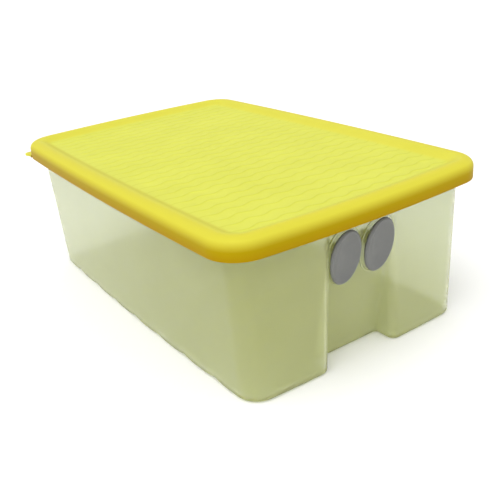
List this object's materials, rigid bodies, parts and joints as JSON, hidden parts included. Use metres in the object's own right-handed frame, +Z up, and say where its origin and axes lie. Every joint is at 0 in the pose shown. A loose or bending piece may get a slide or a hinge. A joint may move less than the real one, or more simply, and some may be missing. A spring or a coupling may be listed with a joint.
{
  "type": "ventilated food storage container",
  "caption": "Rectangular frosted food keeper with a push-on ribbed lid, a corrugated floor and push-pull vent plugs in a recess at one end.",
  "frame": {"origin": "middle of the footprint, on the surface the container stands on", "axes": "+Z up, +Y along the long sides away from the vents, +X across to the right when facing the vents from outside"},
  "size_m": [0.195, 0.306, 0.1048],
  "materials": {
    "frosted_plastic": "translucent frosted polypropylene",
    "yellow_plastic": "satin, slightly translucent yellow polyethylene",
    "grey_plastic": "satin mid-grey polypropylene"
  },
  "bodies": {
    "container": {"container": "frosted_plastic"},
    "lid": {"lid": "yellow_plastic"},
    "left_plug": {"vent_plug_left": "grey_plastic"},
    "right_plug": {"vent_plug_right": "grey_plastic"}
  },
  "joints": [
    {"name": "lid_lift", "type": "slide", "parent": "container", "child": "lid", "axis": [0, 0, 1], "range_m": [0, 0.15]},
    {"name": "left_vent_pull", "type": "slide", "parent": "container", "child": "left_plug", "axis": [0, -0.9805, -0.1964], "range_m": [0, 0.004]},
    {"name": "right_vent_pull", "type": "slide", "parent": "container", "child": "right_plug", "axis": [0, -0.9805, -0.1964], "range_m": [0, 0.004]}
  ]
}
